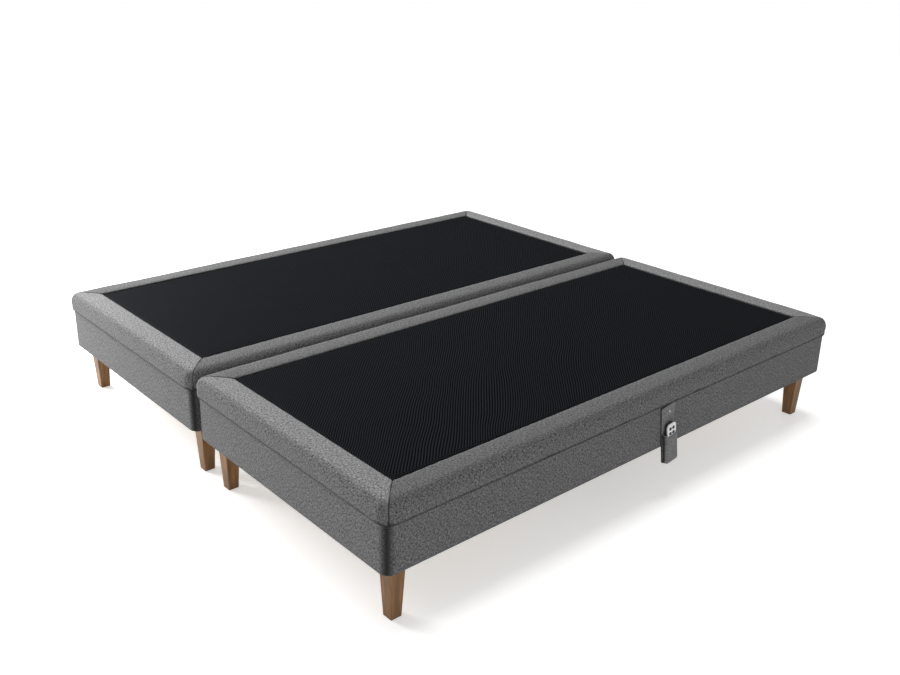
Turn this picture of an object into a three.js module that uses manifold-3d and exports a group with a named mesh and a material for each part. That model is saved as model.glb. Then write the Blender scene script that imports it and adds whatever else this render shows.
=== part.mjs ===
// A split adjustable bed base: two upholstered units side by side, each a fabric-covered wooden box on
// tapered legs that carries a four-section platform. One drive raises the back section and the other
// raises the thigh section, which draws the calf section along. A handset hangs in a fabric pouch.
// Millimetres, +X to the right seen from the foot end, +Y towards the head, +Z up, floor at z = 0.
import * as THREE from "three";
import { mergeVertices } from "three/addons/utils/BufferGeometryUtils.js";
import Module from "manifold-3d";

const wasm = await Module();
wasm.setup();

// ---------------------------------------------------------------- driving dimensions
const PLATFORM = { width: 965, length: 2030, bottom: 316.5, top: 380, corner: 35, edge: 25 };
const BOX = { width: 951, length: 2016, bottom: 173, top: 314, corner: 30 };
const UNIT_GAP = 16; // between the two platforms
const LEG = { height: 172.5, top: 52, foot: 35, insetX: 62, insetY: 67.5, bevel: 3 };

const CLEARANCE = 0.3; // between touching pieces
const COVER = 3; // the box's padded fabric
const RAIL = 22; // thickness of the wooden rails
const BOARD = { bottom: 317, thickness: 15, inset: 12, corner: 25 };
// Under the calf board's free end, with from and to measured along -Y.
const GLIDE = { x: 460, halfWidth: 7, from: 988, to: 976, thickness: 2.8 };

const BACK_HINGE = { y: 225, z: 297, travel: 60 }; // travel in degrees
const THIGH_HINGE = { y: -127, z: 297, travel: 35 };
const KNEE = { y: -445, z: 311 };
const NOTCH_MARGIN = { angle: 1, gap: 1 }; // spare room in the notches between sections

const TUBE_R = 14; // torsion tubes
const STUB = { radius: 8, length: 10, clearance: 0.4, socket: 12 };
const ARM = { x: 250, width: 30, depth: 21.7, backLength: 455, thighLength: 270 };
const LEVER = { radius: 90, thickness: 10, halfWidth: 12 };
const PIN = { radius: 5, halfLength: 14, clearance: 1.4 };
const FORK = { gap: 12, cheek: 6, front: 14, back: 40, bridge: 26, height: 40, bridgeHeight: 24 };
const DRIVE = { x: 80, z: 213, rod: 10, rodLength: 202, bore: 11, boreDepth: 180, tube: 19 };

// Outside the right unit's box, x is measured from the box's side. The pouch hangs a little askew, so its
// own y and z are those of a pouch that hangs straight, turned about the middle of its strap's top.
const POUCH = {
  y: 80,
  top: 309,
  tilt: 8, // degrees
  near: 0.8,
  front: 20.5,
  strapWidth: 66,
  pocketWidth: 63,
  mouth: 220,
  bottom: 115,
  wall: 2,
  strap: 2.5,
};
const HANDSET = { y: 81, width: 40, bottom: 120, top: 253, corner: 10, back: 7.4, split: 13, face: 17.3 };
const BUTTON = {
  radius: 5.2,
  clearance: 0.4,
  rows: [237, 220.5],
  columns: [-7.5, 7.5],
  inner: 14.6,
  proud: 1.2,
};

// ---------------------------------------------------------------- values that follow from them
const PITCH = PLATFORM.width + UNIT_GAP;
const RAIL_OUTER = {
  width: BOX.width - 2 * (COVER + CLEARANCE),
  length: BOX.length - 2 * (COVER + CLEARANCE),
};
const RAIL_INNER = { width: RAIL_OUTER.width - 2 * RAIL, length: RAIL_OUTER.length - 2 * RAIL };
const BOX_SIDE = BOX.width / 2;
// The origin is the middle of the whole object, pouch included.
const CENTRE_X = (BOX_SIDE + POUCH.front - PLATFORM.width / 2) / 2;
const rad = THREE.MathUtils.degToRad;

// ---------------------------------------------------------------- materials
const finish = (color, roughness, metalness = 0) =>
  new THREE.MeshStandardMaterial({ color, roughness, metalness });
const GREY_FABRIC = finish(0x77777a, 0.95);
const MESH_FABRIC = finish(0x1a1c1f, 0.9);
const PINE = finish(0xc9a878, 0.75);
const LEG_WOOD = finish(0x9a6a3c, 0.55);
const PLYWOOD = finish(0xbf9c6b, 0.7);
const BLACK_STEEL = finish(0x26282b, 0.45, 0.6);
const BRIGHT_STEEL = finish(0xb9bcc0, 0.3, 1);
const BLACK_PLASTIC = finish(0x1d1e20, 0.5);
const LIGHT_PLASTIC = finish(0xd9dad8, 0.4);
const BUTTON_RUBBER = finish(0x101112, 0.6);

// ---------------------------------------------------------------- solids
// A closed geometry as a manifold solid.
function solid(geometry) {
  const bare = geometry.index ? geometry.toNonIndexed() : geometry.clone();
  bare.deleteAttribute("normal");
  bare.deleteAttribute("uv");
  const merged = mergeVertices(bare, 1e-4);
  return new wasm.Manifold(
    new wasm.Mesh({
      numProp: 3,
      vertProperties: merged.attributes.position.array,
      triVerts: new Uint32Array(merged.index.array),
    }),
  );
}

const join = (...solids) => solids.reduce((a, b) => a.add(b));
const cut = (base, ...tools) => tools.reduce((a, b) => a.subtract(b), base);

// The shape between two corners, each [x, y, z].
function block(low, high) {
  const size = high.map((v, i) => v - low[i]);
  const geometry = new THREE.BoxGeometry(...size);
  geometry.translate(...low.map((v, i) => v + size[i] / 2));
  return solid(geometry);
}

// A round bar along "x" or "y" from one end to the other, centred on the two other coordinates.
function bar(axis, from, to, across, z, radius, sides = 16) {
  const geometry = new THREE.CylinderGeometry(radius, radius, to - from, sides);
  const middle = (from + to) / 2;
  if (axis === "x") geometry.rotateZ(-Math.PI / 2).translate(middle, across, z);
  else geometry.translate(across, middle, z);
  return solid(geometry);
}

// A rectangle with round corners, centred on (x, y).
function roundedRectangle(width, length, radius, x = 0, y = 0) {
  const w = width / 2 - radius;
  const l = length / 2 - radius;
  const shape = new THREE.Shape();
  shape.absarc(x + w, y - l, radius, -Math.PI / 2, 0);
  shape.absarc(x + w, y + l, radius, 0, Math.PI / 2);
  shape.absarc(x - w, y + l, radius, Math.PI / 2, Math.PI);
  shape.absarc(x - w, y - l, radius, Math.PI, 1.5 * Math.PI);
  return shape;
}

function slab(shape, bottom, top, curveSegments = 5) {
  const options = { depth: top - bottom, bevelEnabled: false, curveSegments };
  return solid(new THREE.ExtrudeGeometry(shape, options).translate(0, 0, bottom));
}

// A prism whose outline lies in the YZ plane, given as [y, z] points anticlockwise seen from +X.
function prismAlongX(points, from, to) {
  const shape = new THREE.Shape(points.map(([y, z]) => new THREE.Vector2(y, z)));
  const geometry = new THREE.ExtrudeGeometry(shape, { depth: to - from, bevelEnabled: false });
  const turn = new THREE.Matrix4().makeBasis(
    new THREE.Vector3(0, 1, 0),
    new THREE.Vector3(0, 0, 1),
    new THREE.Vector3(1, 0, 0),
  );
  return solid(geometry.applyMatrix4(turn).translate(from, 0, 0));
}

// The solid as a named mesh.
function piece(name, made, material) {
  const { vertProperties, triVerts } = made.getMesh();
  const geometry = new THREE.BufferGeometry();
  geometry.setAttribute("position", new THREE.BufferAttribute(new Float32Array(vertProperties), 3));
  geometry.setIndex(new THREE.BufferAttribute(new Uint32Array(triVerts), 1));
  geometry.computeVertexNormals();
  const mesh = new THREE.Mesh(geometry, material);
  mesh.name = name;
  return mesh;
}

// ---------------------------------------------------------------- box and legs
const LEG_BLOCK = { side: 100, height: 28 };
const PACKER = { y: [-80, 180], inner: 2, outer: 18 }; // on the rails, under the fixed seat board
const RAIL_TOP = BOX.top - 0.5;

const sorted = (...values) => values.sort((a, b) => a - b);

// Four wooden rails with a block in each bottom corner for a leg, a strip on each side under the seat
// board, and a socket for each torsion tube's end.
function boxFrame() {
  const { width, length } = RAIL_OUTER;
  const inner = RAIL_INNER;
  const outline = roundedRectangle(width, length, BOX.corner - COVER - CLEARANCE);
  const outside = slab(outline, BOX.bottom, RAIL_TOP);
  const inside = block(
    [-inner.width / 2, -inner.length / 2, BOX.bottom - 1],
    [inner.width / 2, inner.length / 2, BOX.top + 1],
  );
  let frame = cut(outside, inside);
  for (const sx of [-1, 1]) {
    for (const sy of [-1, 1]) {
      const x = sorted(sx * (inner.width / 2 + 1), sx * (inner.width / 2 - LEG_BLOCK.side));
      const y = sorted(sy * (inner.length / 2 + 1), sy * (inner.length / 2 - LEG_BLOCK.side));
      frame = join(frame, block([x[0], y[0], BOX.bottom], [x[1], y[1], BOX.bottom + LEG_BLOCK.height]));
    }
  }
  const reach = inner.width / 2 + STUB.socket;
  for (const sx of [-1, 1]) {
    const x = sorted(sx * (inner.width / 2 + PACKER.inner), sx * (inner.width / 2 + PACKER.outer));
    const top = BOARD.bottom - CLEARANCE;
    frame = join(frame, block([x[0], PACKER.y[0], RAIL_TOP - 1], [x[1], PACKER.y[1], top]));
  }
  for (const hinge of [BACK_HINGE, THIGH_HINGE]) {
    frame = cut(frame, bar("x", -reach, reach, hinge.y, hinge.z, STUB.radius + STUB.clearance));
  }
  return frame;
}

function boxCover() {
  const outside = slab(roundedRectangle(BOX.width, BOX.length, BOX.corner), BOX.bottom, BOX.top);
  const inside = slab(
    roundedRectangle(BOX.width - 2 * COVER, BOX.length - 2 * COVER, BOX.corner - COVER),
    BOX.bottom - 1,
    BOX.top + 1,
  );
  return cut(outside, inside);
}

// A square leg with broken edges that tapers towards the floor, centred on the Z axis.
function leg() {
  const geometry = new THREE.ExtrudeGeometry(roundedRectangle(1, 1, LEG.bevel / LEG.top), {
    depth: LEG.height,
    bevelEnabled: false,
    curveSegments: 2,
  });
  const position = geometry.attributes.position;
  for (let i = 0; i < position.count; i++) {
    const side = THREE.MathUtils.lerp(LEG.foot, LEG.top, position.getZ(i) / LEG.height);
    position.setXY(i, position.getX(i) * side, position.getY(i) * side);
  }
  return solid(geometry);
}

// ---------------------------------------------------------------- platform sections
// How far a section's end stands back from its hinge at a height, so that a fold of that travel has room.
const standBack = (hinge, z) =>
  Math.tan(rad(hinge.travel / 2 + NOTCH_MARGIN.angle)) * (z - hinge.z) + NOTCH_MARGIN.gap;

const KNEE_GAP = 2;
const SECTIONS = {
  back: { foot: (z) => BACK_HINGE.y + standBack(BACK_HINGE, z), head: () => PLATFORM.length },
  seat: {
    foot: (z) => THIGH_HINGE.y + standBack(THIGH_HINGE, z),
    head: (z) => BACK_HINGE.y - standBack(BACK_HINGE, z),
  },
  thigh: { foot: () => KNEE.y + KNEE_GAP, head: (z) => THIGH_HINGE.y - standBack(THIGH_HINGE, z) },
  calf: { foot: () => -PLATFORM.length, head: () => KNEE.y - KNEE_GAP },
};

function platformBlank() {
  const { width, length, edge, corner } = PLATFORM;
  const shape = roundedRectangle(width - 2 * edge, length - 2 * edge, corner - edge);
  const geometry = new THREE.ExtrudeGeometry(shape, {
    depth: PLATFORM.top - PLATFORM.bottom,
    bevelThickness: edge,
    bevelSize: edge,
    bevelSegments: 3,
    curveSegments: 4,
  });
  geometry.translate(0, 0, PLATFORM.bottom - edge);
  const below = block([-width, -length, 0], [width, length, PLATFORM.bottom]);
  return cut(solid(geometry), below);
}

// All that lies between a section's two ends, from one height to another.
function sectionSpace(section, bottom, top) {
  const { foot, head } = SECTIONS[section];
  const points = [
    [foot(bottom), bottom],
    [head(bottom), bottom],
    [head(top), top],
    [foot(top), top],
  ];
  return prismAlongX(points, -PLATFORM.width, PLATFORM.width);
}

// The foam and its cover, hollow underneath where the board lies.
function pad(section, blank) {
  const inset = 2 * (BOARD.inset - CLEARANCE);
  const pocket = slab(
    roundedRectangle(PLATFORM.width - inset, PLATFORM.length - inset, BOARD.corner),
    PLATFORM.bottom - 1,
    BOARD.bottom + BOARD.thickness + CLEARANCE,
    4,
  );
  return cut(blank.intersect(sectionSpace(section, PLATFORM.bottom - 2, PLATFORM.top + 2)), pocket);
}

// A section's plywood board. The calf's has two glides that run along the side rails as its free end
// comes down.
function board(section) {
  const sheet = slab(
    roundedRectangle(PLATFORM.width - 2 * BOARD.inset, PLATFORM.length - 2 * BOARD.inset, BOARD.corner),
    BOARD.bottom,
    BOARD.bottom + BOARD.thickness,
    4,
  );
  const { foot, head } = SECTIONS[section];
  const top = BOARD.bottom + BOARD.thickness;
  const spare = 2;
  const space = block(
    [-PLATFORM.width, foot(top) + spare, BOARD.bottom - 1],
    [PLATFORM.width, head(top) - spare, top + 1],
  );
  const made = sheet.intersect(space);
  if (section !== "calf") return made;
  const glides = [-GLIDE.x, GLIDE.x].map((x) =>
    block(
      [x - GLIDE.halfWidth, -GLIDE.from, BOARD.bottom - GLIDE.thickness],
      [x + GLIDE.halfWidth, -GLIDE.to, BOARD.bottom + 1],
    ),
  );
  return join(made, ...glides);
}

const LEAF = {
  length: 700,
  width: 40,
  thickness: 2,
  edge: 1, // from the hinge's axis to the plate
  knuckle: 5,
  knuckles: 5,
  pin: 2.2,
  gap: 0.6, // between two knuckles
  spare: 0.5, // round the pin and the other leaf's knuckles
};

// A round bar along the knee hinge's axis.
const kneeBar = (from, to, radius) => bar("x", from, to, KNEE.y, KNEE.z, radius, 12);

// One leaf of the hinge under the knee joint. The thigh's leaf carries the pin and every other knuckle.
function kneeLeaf(side) {
  const { length, width, thickness, edge, knuckle, knuckles, pin, gap, spare } = LEAF;
  const plateTop = BOARD.bottom - CLEARANCE;
  const direction = side === "thigh" ? 1 : -1;
  const step = length / knuckles;
  const y = sorted(KNEE.y + direction * edge, KNEE.y + direction * width);
  let made = block([-length / 2, y[0], plateTop - thickness], [length / 2, y[1], plateTop]);
  for (let i = 0; i < knuckles; i++) {
    const from = -length / 2 + i * step + gap / 2;
    const to = from + step - gap;
    const own = (i % 2 === 0) === (side === "thigh");
    made = own
      ? join(made, kneeBar(from, to, knuckle))
      : cut(made, kneeBar(from - gap, to + gap, knuckle + spare));
  }
  return side === "thigh"
    ? join(made, kneeBar(-length / 2, length / 2, pin))
    : cut(made, kneeBar(-length, length, pin + spare));
}

// ---------------------------------------------------------------- lift mechanism
// At rest a lever leans back by half its section's travel. direction is the way the drive pushes, along Y.
function leverPin(hinge, direction) {
  const lean = rad(hinge.travel / 2);
  return {
    y: hinge.y - direction * LEVER.radius * Math.sin(lean),
    z: hinge.z - LEVER.radius * Math.cos(lean),
  };
}

// A torsion tube with two lifting arms under the board and the lever that its drive pushes.
function liftFrame(hinge, direction, armLength) {
  const half = RAIL_INNER.width / 2 - 2;
  const reach = half + STUB.length;
  const tube = join(
    bar("x", -half, half, hinge.y, hinge.z, TUBE_R),
    bar("x", -reach, reach, hinge.y, hinge.z, STUB.radius),
  );
  const armTop = BOARD.bottom - CLEARANCE;
  const armEnds = sorted(hinge.y, hinge.y + direction * armLength);
  const arms = [-ARM.x, ARM.x].map((x) =>
    block([x - ARM.width / 2, armEnds[0], armTop - ARM.depth], [x + ARM.width / 2, armEnds[1], armTop]),
  );
  const x = -direction * DRIVE.x;
  const pin = leverPin(hinge, direction);
  const { thickness, halfWidth } = LEVER;
  const web = new THREE.BoxGeometry(thickness, 2 * halfWidth, LEVER.radius);
  web.translate(0, 0, -LEVER.radius / 2);
  web.rotateX((-direction * rad(hinge.travel)) / 2).translate(x, hinge.y, hinge.z);
  return join(
    tube,
    ...arms,
    solid(web),
    bar("x", x - thickness / 2, x + thickness / 2, pin.y, pin.z, halfWidth),
    bar("x", x - PIN.halfLength, x + PIN.halfLength, pin.y, pin.z, PIN.radius),
  );
}

// Turns distances behind the lever pin, against the push, into a sorted [low, high] pair of y values.
const behind = (hinge, direction, near, far) =>
  sorted(...[near, far].map((d) => leverPin(hinge, direction).y - direction * d));

// The drive's rod, ending in a fork whose upright slots let the lever's pin rise and fall through its arc.
function driveRod(hinge, direction) {
  const x = -direction * DRIVE.x;
  const half = FORK.gap / 2;
  const span = (near, far) => behind(hinge, direction, near, far);
  const cheekY = span(-FORK.front, FORK.back);
  const bridgeY = span(FORK.bridge, FORK.back);
  const slotY = span(-PIN.radius - PIN.clearance, PIN.radius + PIN.clearance);
  const slotTop = leverPin(hinge, direction).z + PIN.radius + PIN.clearance;
  const slotBottom = hinge.z - LEVER.radius - PIN.radius - PIN.clearance;
  const outer = half + FORK.cheek;
  const low = DRIVE.z - FORK.height / 2;
  const high = DRIVE.z + FORK.height / 2;
  const bridgeHalf = FORK.bridgeHeight / 2;
  const rodY = span(FORK.back - 1, FORK.back + DRIVE.rodLength);
  return cut(
    join(
      block([x - outer, cheekY[0], low], [x - half, cheekY[1], high]),
      block([x + half, cheekY[0], low], [x + outer, cheekY[1], high]),
      block([x - outer, bridgeY[0], DRIVE.z - bridgeHalf], [x + outer, bridgeY[1], DRIVE.z + bridgeHalf]),
      bar("y", rodY[0], rodY[1], x, DRIVE.z, DRIVE.rod),
    ),
    block([x - outer - 1, slotY[0], slotBottom], [x + outer + 1, slotY[1], slotTop]),
  );
}

// Distances behind the lever pin at which the drive's parts begin and end.
const STATION = {
  tubeFront: 87,
  gearbox: 332,
  gearboxRear: 417,
  eye: 431,
  eyeRear: 444,
  crossbar: 452,
  crossbarRear: 482,
};
const EYE = { halfWidth: 12, halfHeight: 12, hole: 5.4, pin: 5 };
const GEARBOX = { below: 20, above: 36, motorSide: 78, otherSide: 28 };
const MOTOR = { radius: 26, length: 130, offset: 48, raise: 7 };

// The drive: a guide tube for the rod, a gearbox, a motor beside the tube and a mounting eye.
function drive(hinge, direction) {
  const x = -direction * DRIVE.x;
  const span = (near, far) => behind(hinge, direction, near, far);
  const tubeY = span(STATION.tubeFront, STATION.gearbox + 1);
  const boreY = span(STATION.tubeFront - 1, STATION.tubeFront + DRIVE.boreDepth);
  const gearboxY = span(STATION.gearbox, STATION.gearboxRear);
  const motorY = span(STATION.gearbox - MOTOR.length, STATION.gearbox + 1);
  const eyeY = span(STATION.gearboxRear - 1, STATION.eyeRear);
  const motorZ = DRIVE.z + MOTOR.raise;
  const gearboxX = sorted(x + direction * GEARBOX.otherSide, x - direction * GEARBOX.motorSide);
  const eyePinY = span(STATION.eye, STATION.eye)[0];
  return cut(
    join(
      bar("y", tubeY[0], tubeY[1], x, DRIVE.z, DRIVE.tube),
      block(
        [gearboxX[0], gearboxY[0], DRIVE.z - GEARBOX.below],
        [gearboxX[1], gearboxY[1], DRIVE.z + GEARBOX.above],
      ),
      bar("y", motorY[0], motorY[1], x - direction * MOTOR.offset, motorZ, MOTOR.radius, 20),
      block(
        [x - EYE.halfWidth, eyeY[0], DRIVE.z - EYE.halfHeight],
        [x + EYE.halfWidth, eyeY[1], DRIVE.z + EYE.halfHeight],
      ),
    ),
    bar("y", boreY[0], boreY[1], x, DRIVE.z, DRIVE.bore),
    bar("x", x - EYE.halfWidth - 1, x + EYE.halfWidth + 1, eyePinY, DRIVE.z, EYE.hole),
  );
}

const CROSSBAR_HALF_HEIGHT = 20;
const EAR = { gap: 0.5, thickness: 5.5, halfHeight: 12, front: 11, pinEnd: 3 };

// A steel bar across the box with the two ears and the pin that hold a drive's eye.
function crossbar(hinge, direction) {
  const x = -direction * DRIVE.x;
  const half = RAIL_INNER.width / 2 - CLEARANCE;
  const span = (near, far) => behind(hinge, direction, near, far);
  const barY = span(STATION.crossbar, STATION.crossbarRear);
  const earY = span(STATION.eye - EAR.front, STATION.crossbar + 1);
  const eyePinY = span(STATION.eye, STATION.eye)[0];
  const inner = EYE.halfWidth + EAR.gap;
  const outer = inner + EAR.thickness;
  const low = DRIVE.z - EAR.halfHeight;
  const high = DRIVE.z + EAR.halfHeight;
  const reach = outer + EAR.pinEnd;
  return join(
    block(
      [-half, barY[0], DRIVE.z - CROSSBAR_HALF_HEIGHT],
      [half, barY[1], DRIVE.z + CROSSBAR_HALF_HEIGHT],
    ),
    block([x - outer, earY[0], low], [x - inner, earY[1], high]),
    block([x + inner, earY[0], low], [x + outer, earY[1], high]),
    bar("x", x - reach, x + reach, eyePinY, DRIVE.z, EYE.pin, 12),
  );
}

// ---------------------------------------------------------------- control box and its leads
const CONTROL = { x: [200, 380], y: [-60, 100], z: [269, BOARD.bottom - CLEARANCE] };
const PLUG = { x: [183, CONTROL.x[0] - CLEARANCE], y: [2, 58], z: [279, 299] };
const INLET = { x: [330, 362], depth: 14, z: [281, 303] };

function controlBox() {
  const { x, y, z } = CONTROL;
  const rim = { height: 6, inset: 4 };
  return cut(
    join(
      block([x[0], y[0], z[0] + rim.height], [x[1], y[1], z[1]]),
      block(
        [x[0] + rim.inset, y[0] + rim.inset, z[0]],
        [x[1] - rim.inset, y[1] - rim.inset, z[0] + rim.height + 1],
      ),
    ),
    block([INLET.x[0], y[0] - 1, INLET.z[0]], [INLET.x[1], y[0] + INLET.depth, INLET.z[1]]),
  );
}

// A round lead along the points given.
function lead(points) {
  const section = new THREE.Shape().absarc(0, 0, 3, 0, 2 * Math.PI);
  const path = new THREE.CatmullRomCurve3(points.map((p) => new THREE.Vector3(...p)));
  const tube = { steps: 24, curveSegments: 4, bevelEnabled: false, extrudePath: path };
  return solid(new THREE.ExtrudeGeometry(section, tube));
}

// The two drives' leads, from the tops of their gearboxes to the plug that they share on the control box.
function wiring() {
  const low = DRIVE.z + GEARBOX.above + CLEARANCE;
  const plugX = PLUG.x[0] + 3;
  const plugZ = (PLUG.z[0] + PLUG.z[1]) / 2;
  const backLead = [
    [-DRIVE.x, -195, low],
    [-DRIVE.x, -195, low + 8],
    [-60, -150, low + 18],
    [0, -60, low + 25],
    [100, 10, plugZ - 3],
    [plugX, 20, plugZ],
  ];
  const thighLead = [
    [DRIVE.x, 275, low],
    [DRIVE.x, 275, low + 8],
    [100, 225, low + 20],
    [135, 140, low + 28],
    [150, 60, plugZ - 3],
    [plugX, 42, plugZ],
  ];
  const corner = (i) => [PLUG.x[i], PLUG.y[i], PLUG.z[i]];
  return join(block(corner(0), corner(1)), lead(backLead), lead(thighLead));
}

// ---------------------------------------------------------------- one unit
function unit(side, x) {
  const group = new THREE.Group();
  group.position.x = x;
  const add = (name, made, material) => group.add(piece(`${side}_${name}`, made, material));
  add("box_frame", boxFrame(), PINE);
  add("box_cover", boxCover(), GREY_FABRIC);
  const legSolid = leg();
  for (const [end, sy] of [["foot", -1], ["head", 1]]) {
    for (const [hand, sx] of [["left", -1], ["right", 1]]) {
      const mesh = piece(`${side}_leg_${end}_${hand}`, legSolid, LEG_WOOD);
      mesh.position.set(sx * (BOX.width / 2 - LEG.insetX), sy * (BOX.length / 2 - LEG.insetY), 0);
      group.add(mesh);
    }
  }
  const blank = platformBlank();
  for (const section of Object.keys(SECTIONS)) {
    add(`${section}_board`, board(section), PLYWOOD);
    add(`${section}_pad`, pad(section, blank), MESH_FABRIC);
  }
  add("knee_hinge_thigh_leaf", kneeLeaf("thigh"), BRIGHT_STEEL);
  add("knee_hinge_calf_leaf", kneeLeaf("calf"), BRIGHT_STEEL);
  for (const [section, hinge, direction, armLength] of [
    ["back", BACK_HINGE, 1, ARM.backLength],
    ["thigh", THIGH_HINGE, -1, ARM.thighLength],
  ]) {
    add(`${section}_lift_frame`, liftFrame(hinge, direction, armLength), BLACK_STEEL);
    add(`${section}_drive_rod`, driveRod(hinge, direction), BRIGHT_STEEL);
    add(`${section}_drive`, drive(hinge, direction), BLACK_PLASTIC);
    add(`${section}_crossbar`, crossbar(hinge, direction), BLACK_STEEL);
  }
  add("control_box", controlBox(), BLACK_PLASTIC);
  add("wiring", wiring(), BLACK_PLASTIC);
  return group;
}

// A strip screwed under the two inner rails, which holds the units together.
function joiningStrip() {
  const strip = { halfWidth: 45, halfLength: 600, thickness: 3, bottom: BOX.bottom - CLEARANCE - 3 };
  return block(
    [-strip.halfWidth, -strip.halfLength, strip.bottom],
    [strip.halfWidth, strip.halfLength, strip.bottom + strip.thickness],
  );
}

// ---------------------------------------------------------------- handset and pouch
// A fabric strap that hangs from the seam, with an open pocket at its end.
function pouch() {
  const { y, near, front, strapWidth, pocketWidth, mouth, bottom, wall, strap } = POUCH;
  return cut(
    join(
      block([near, y - strapWidth / 2, mouth - 6], [near + strap, y + strapWidth / 2, POUCH.top]),
      block([near, y - pocketWidth / 2, bottom], [front, y + pocketWidth / 2, mouth]),
    ),
    block(
      [near + strap, y - pocketWidth / 2 + wall, bottom + wall],
      [front - wall, y + pocketWidth / 2 - wall, mouth + 1],
    ),
  );
}

// A plate with the handset's rounded outline, between two distances from the box's side.
function handsetPlate(from, to, inset = 0) {
  const height = HANDSET.top - HANDSET.bottom;
  const middle = (HANDSET.top + HANDSET.bottom) / 2;
  const outline = roundedRectangle(
    HANDSET.width - 2 * inset,
    height - 2 * inset,
    HANDSET.corner - inset,
    HANDSET.y,
    middle,
  );
  return prismAlongX(
    outline.getPoints(4).map((p) => [p.x, p.y]),
    from,
    to,
  );
}

function handsetCase() {
  const wall = 2;
  return cut(
    handsetPlate(HANDSET.back, HANDSET.split),
    handsetPlate(HANDSET.back + wall, HANDSET.split + 1, wall),
  );
}

function handsetFace() {
  let face = handsetPlate(HANDSET.split + CLEARANCE, HANDSET.face);
  for (const z of BUTTON.rows) {
    for (const dy of BUTTON.columns) {
      const hole = BUTTON.radius + BUTTON.clearance;
      face = cut(face, bar("x", HANDSET.split - 1, HANDSET.face + 1, HANDSET.y + dy, z, hole));
    }
  }
  return face;
}

function handset() {
  const hung = new THREE.Group();
  hung.position.set(PITCH / 2 + BOX_SIDE, POUCH.y, POUCH.top);
  hung.rotation.x = rad(POUCH.tilt);
  const group = new THREE.Group();
  group.position.set(0, -POUCH.y, -POUCH.top);
  hung.add(group);
  group.add(piece("handset_pouch", pouch(), GREY_FABRIC));
  group.add(piece("handset_case", handsetCase(), BLACK_PLASTIC));
  group.add(piece("handset_face", handsetFace(), LIGHT_PLASTIC));
  const names = [["back_up", "legs_up"], ["back_down", "legs_down"]];
  BUTTON.rows.forEach((z, row) => {
    BUTTON.columns.forEach((dy, column) => {
      const button = bar("x", BUTTON.inner, HANDSET.face + BUTTON.proud, HANDSET.y + dy, z, BUTTON.radius);
      group.add(piece(`button_${names[row][column]}`, button, BUTTON_RUBBER));
    });
  });
  return hung;
}

// ---------------------------------------------------------------- the whole base
const base = new THREE.Group();
base.position.x = -CENTRE_X;
base.add(unit("left", -PITCH / 2));
base.add(unit("right", PITCH / 2));
base.add(piece("joining_strip", joiningStrip(), BRIGHT_STEEL));
base.add(handset());

export default base;
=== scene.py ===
"""Upholstered looks for an adjustable bed base: two units side by side with a handset in a pouch."""
import math

import bmesh
import bpy
from mathutils import Matrix, Vector, noise


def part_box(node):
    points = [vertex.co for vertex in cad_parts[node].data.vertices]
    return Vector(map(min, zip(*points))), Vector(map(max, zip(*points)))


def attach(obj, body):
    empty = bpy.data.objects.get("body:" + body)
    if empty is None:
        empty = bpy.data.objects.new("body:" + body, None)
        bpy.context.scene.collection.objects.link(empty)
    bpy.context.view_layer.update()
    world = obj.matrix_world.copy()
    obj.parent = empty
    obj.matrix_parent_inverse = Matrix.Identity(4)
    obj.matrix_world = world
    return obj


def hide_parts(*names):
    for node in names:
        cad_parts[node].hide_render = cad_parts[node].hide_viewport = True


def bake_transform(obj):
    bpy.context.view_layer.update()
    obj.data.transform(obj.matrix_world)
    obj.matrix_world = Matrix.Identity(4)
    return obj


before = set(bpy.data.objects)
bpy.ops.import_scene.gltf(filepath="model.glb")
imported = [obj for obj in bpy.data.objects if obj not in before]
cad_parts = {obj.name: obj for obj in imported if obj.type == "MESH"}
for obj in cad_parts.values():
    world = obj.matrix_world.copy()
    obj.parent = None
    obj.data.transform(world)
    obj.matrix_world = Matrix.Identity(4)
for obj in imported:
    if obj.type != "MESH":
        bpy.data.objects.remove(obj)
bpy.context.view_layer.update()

MM = 0.001
SIDES = ("left", "right")

# Platform cover, in metres; insets run inwards from the platform's side.
END_INSET_RATIO = 96 / 93.5
BORDER_WIDTH = 93.5 * MM
PLATFORM_CORNER = 40 * MM
CEILING = 332.4 * MM
HOLLOW_INSET = 11.6 * MM
PANEL_TOP = 376.6 * MM
PANEL_GAP = 0.4 * MM
SEAT_CUT = 50 * MM
THIGH_CUT = -300 * MM
BACK_BEND = (338 * MM, 190 * MM)
THIGH_BEND = (-117 * MM, -227 * MM)
KNEE_BEND = (-390 * MM, -500 * MM)
SHOULDER_START = 350 * MM
SHOULDER_WIDTH = 40 * MM
SHOULDER_STEPS = 12
# Where the painted shade of the border's lower rim reaches higher, as at a joint that gapes a little.
SEAM_DASHES = (-446 * MM, -127 * MM, 224 * MM, 656 * MM)

# The border's sewing: the mitre seam's groove and lip, its pinched end, the folds that fan from it,
# the uneven foam, the puckers at the panel's seam, and how far the cloth is pressed in by the pouch.
SEAM_DEPTH = 2.4 * MM
SEAM_HALF = 2.1 * MM
LIP_HEIGHT = 0.8 * MM
PINCH_DEPTH = 3.4 * MM
PINCH_HALF = 11 * MM
FOLD_DEPTH = 1.3 * MM
FOAM_SWELL = 1.1 * MM
FOAM_RIPPLE = 0.5 * MM
PUCKER_DEPTH = 0.35 * MM
PUCKER_PITCH = 34 * MM
PRESSED_IN = 0.9 * MM

# Box cover.
BOX_CORNER = 30 * MM
HEM_WIDTH = 18 * MM
COVER_THICKNESS = 2.9 * MM

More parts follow.
